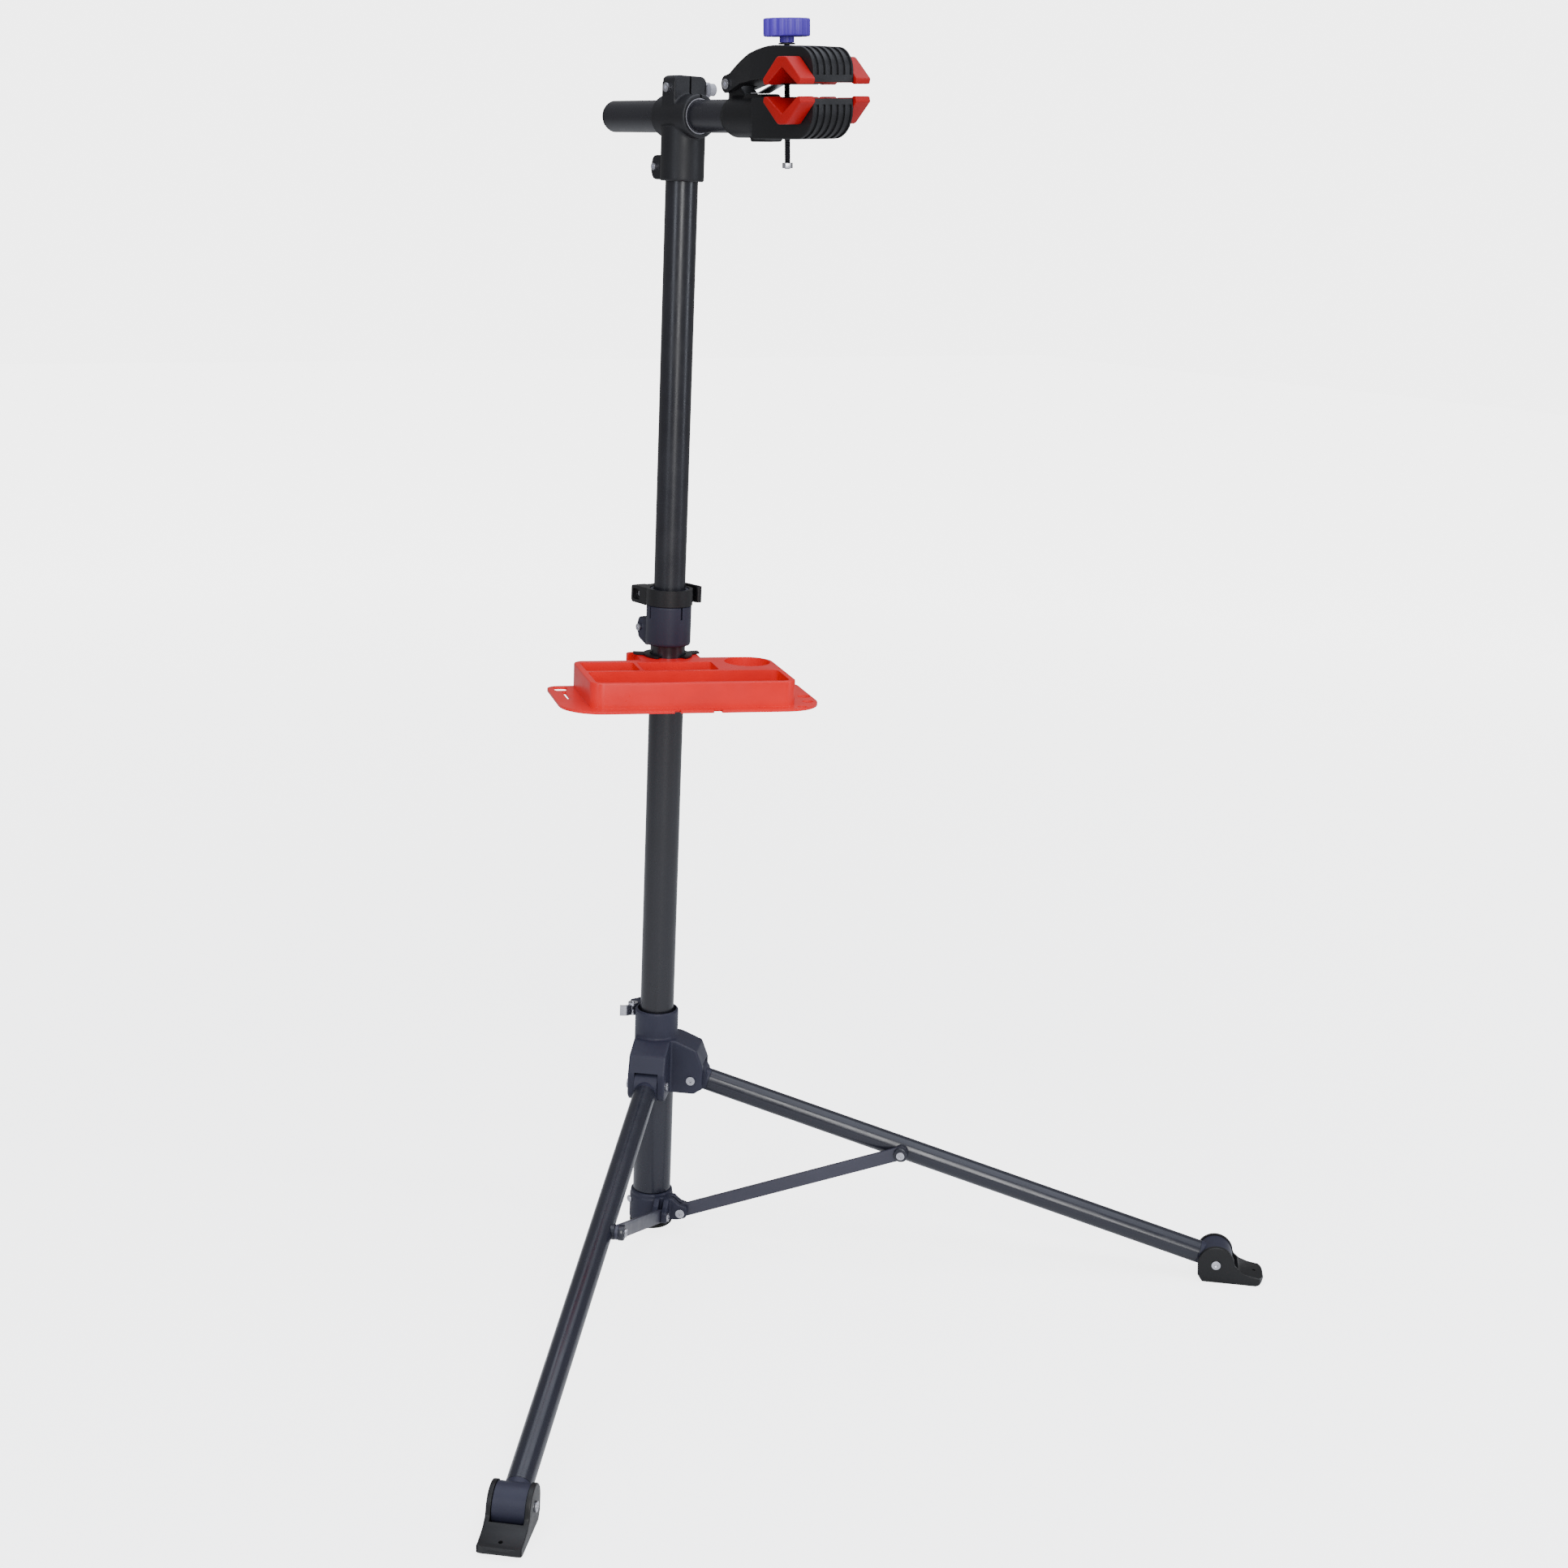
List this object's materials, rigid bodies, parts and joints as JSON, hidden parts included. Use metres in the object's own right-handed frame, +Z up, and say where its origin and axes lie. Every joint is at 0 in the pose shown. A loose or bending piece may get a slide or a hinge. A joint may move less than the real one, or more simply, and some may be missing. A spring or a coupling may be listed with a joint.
{
  "type": "bike repair stand",
  "caption": "Folding bicycle repair stand: telescopic mast on a foot and two hinged legs, clip-on tool tray, and a rotating side arm with a V-padded screw clamp.",
  "frame": {"origin": "on the floor on the mast's axis, under the mast's rubber foot", "axes": "+Z up along the mast, +X along the clamp arm and midway between the legs, +Y to the left of the arm"},
  "size_m": [0.6432, 1.0204, 1.3344],
  "materials": {
    "mast_black": "satin black paint",
    "casting_grey": "dark blue-grey paint",
    "casting_black": "satin black paint",
    "black_steel": "black oxide",
    "leg_grey": "dark blue-grey paint",
    "strut_grey": "dark grey paint",
    "gloss_black": "gloss black",
    "jaw_black": "satin black",
    "tray_red": "gloss red",
    "pad_red": "soft red",
    "knob_violet": "violet",
    "bright_steel": "bright zinc",
    "nylon_grey": "light grey",
    "rubber_black": "matt black"
  },
  "bodies": {
    "base": {"mast_foot_pad": "rubber_black", "mast_bracket": "casting_grey", "bracket_screw": "bright_steel", "bracket_bolt_1": "bright_steel", "bracket_bolt_2": "bright_steel", "middle_tube": "mast_black", "collar_casting": "casting_grey", "collar_screw": "bright_steel", "collar_band": "gloss_black", "collar_skewer": "bright_steel", "collar_lever_pin": "bright_steel"},
    "collar_lever": {"collar_lever": "gloss_black"},
    "tray": {"tool_tray": "tray_red", "tray_clip": "gloss_black"},
    "hub": {"hub_casting": "casting_grey", "hub_sleeve": "leg_grey", "hub_bolt_1": "bright_steel", "hub_bolt_2": "bright_steel", "hub_skewer": "bright_steel", "hub_lever_pin": "bright_steel"},
    "hub_lever": {"hub_lever": "bright_steel"},
    "glide": {"glide_bush": "nylon_grey"},
    "mast_upper": {"upper_tube": "mast_black", "head_casting": "casting_black", "head_screw": "bright_steel", "clamp_bolt": "bright_steel"},
    "wing_nut": {"wing_nut": "nylon_grey"},
    "arm_liner": {"arm_bush": "nylon_grey"},
    "arm": {"arm_tube": "mast_black", "arm_end_cap": "gloss_black", "lower_jaw": "jaw_black", "lower_pad_1": "pad_red", "lower_pad_2": "pad_red", "captive_nut": "bright_steel", "jaw_pin": "bright_steel", "spring_strip": "bright_steel"},
    "upper_jaw": {"upper_jaw": "jaw_black", "upper_pad_1": "pad_red", "upper_pad_2": "pad_red"},
    "washer": {"thrust_washer": "jaw_black"},
    "knob": {"clamp_screw": "black_steel", "clamp_knob": "knob_violet"},
    "leg_1": {"leg_tube_1": "leg_grey", "leg_top_fitting_1": "casting_grey", "leg_end_fitting_1": "casting_grey", "leg_washer_1": "leg_grey"},
    "strut_1": {"strut_bar_1": "strut_grey", "strut_boss_1": "leg_grey", "strut_bolt_1": "bright_steel"},
    "foot_1": {"foot_shoe_1": "gloss_black", "foot_bolt_1": "bright_steel"},
    "leg_2": {"leg_tube_2": "leg_grey", "leg_top_fitting_2": "casting_grey", "leg_end_fitting_2": "casting_grey", "leg_washer_2": "leg_grey"},
    "strut_2": {"strut_bar_2": "strut_grey", "strut_boss_2": "leg_grey", "strut_bolt_2": "bright_steel"},
    "foot_2": {"foot_shoe_2": "gloss_black", "foot_bolt_2": "bright_steel"}
  },
  "joints": [
    {"name": "mast_height", "type": "slide", "parent": "base", "child": "glide", "axis": [0, 0, 1], "range_m": [-0.4, 0.15]},
    {"name": "mast_turn", "type": "hinge", "parent": "glide", "child": "mast_upper", "pos_m": [0, 0, 0.46], "axis": [0, 0, 1], "continuous": true},
    {"name": "wing_nut_turn", "type": "hinge", "parent": "mast_upper", "child": "wing_nut", "pos_m": [-0.002, 0.025, 1.27], "axis": [0, 1, 0], "continuous": true},
    {"name": "arm_turn", "type": "hinge", "parent": "mast_upper", "child": "arm_liner", "pos_m": [0, 0, 1.2423], "axis": [1, 0, 0], "continuous": true},
    {"name": "arm_reach", "type": "slide", "parent": "arm_liner", "child": "arm", "axis": [1, 0, 0], "range_m": [-0.05, 0.05]},
    {"name": "collar_lever_turn", "type": "hinge", "parent": "base", "child": "collar_lever", "pos_m": [-0.033, 0.018, 0.738], "axis": [0, 0, 1], "range_deg": [0, 100]},
    {"name": "hub_lever_turn", "type": "hinge", "parent": "hub", "child": "hub_lever", "pos_m": [-0.0275, -0.0145, 0.257], "axis": [0, 0, -1], "range_deg": [0, 90]},
    {"name": "tray_turn", "type": "hinge", "parent": "base", "child": "tray", "pos_m": [0, 0, 0.66], "axis": [0, 0, 1], "continuous": true},
    {"name": "hub_slide", "type": "slide", "parent": "base", "child": "hub", "axis": [0, 0, 1], "range_m": [0, 0.34]},
    {"name": "knob_turn", "type": "hinge", "parent": "washer", "child": "knob", "pos_m": [0.177, -0.00488, 1.32215], "axis": [0, 0.061, -0.9981], "range_deg": [-3300, 560]},
    {"name": "clamp_lift", "type": "slide", "parent": "arm", "child": "washer", "axis": [0, -0.061, 0.9981], "range_m": [-0.003, 0.018]},
    {"name": "jaw_open", "type": "hinge", "parent": "arm", "child": "upper_jaw", "pos_m": [0.098, -0.00189, 1.27324], "axis": [0, -0.9981, -0.061], "range_deg": [-2.2, 12.2]},
    {"name": "leg_1_fold", "type": "hinge", "parent": "hub", "child": "leg_1", "pos_m": [0.03196, -0.03196, 0.1865], "axis": [0.7071, 0.7071, 0], "range_deg": [0, 60]},
    {"name": "strut_1_swing", "type": "hinge", "parent": "base", "child": "strut_1", "pos_m": [0.02751, -0.02751, 0.0239], "axis": [-0.7071, -0.7071, 0], "range_deg": [0, 54]},
    {"name": "foot_1_swivel", "type": "hinge", "parent": "leg_1", "child": "foot_1", "pos_m": [0.46033, -0.46033, 0.022], "axis": [0.7071, 0.7071, 0], "range_deg": [-20, 20]},
    {"name": "leg_2_fold", "type": "hinge", "parent": "hub", "child": "leg_2", "pos_m": [0.03196, 0.03196, 0.1865], "axis": [-0.7071, 0.7071, 0], "range_deg": [0, 60]},
    {"name": "strut_2_swing", "type": "hinge", "parent": "base", "child": "strut_2", "pos_m": [0.02751, 0.02751, 0.0239], "axis": [0.7071, -0.7071, 0], "range_deg": [0, 54]},
    {"name": "foot_2_swivel", "type": "hinge", "parent": "leg_2", "child": "foot_2", "pos_m": [0.46033, 0.46033, 0.022], "axis": [-0.7071, 0.7071, 0], "range_deg": [-20, 20]}
  ],
  "couplings": [
    {"joint": "knob_turn", "follows": "clamp_lift", "rad_per_m": -3141.6},
    {"joint": "jaw_open", "follows": "clamp_lift", "rad_per_m": 11.111},
    {"joint": "leg_1_fold", "follows": "hub_slide", "rad_per_m": 3.0682},
    {"joint": "strut_1_swing", "follows": "hub_slide", "rad_per_m": 2.7412},
    {"joint": "leg_2_fold", "follows": "hub_slide", "rad_per_m": 3.0682},
    {"joint": "strut_2_swing", "follows": "hub_slide", "rad_per_m": 2.7412}
  ]
}
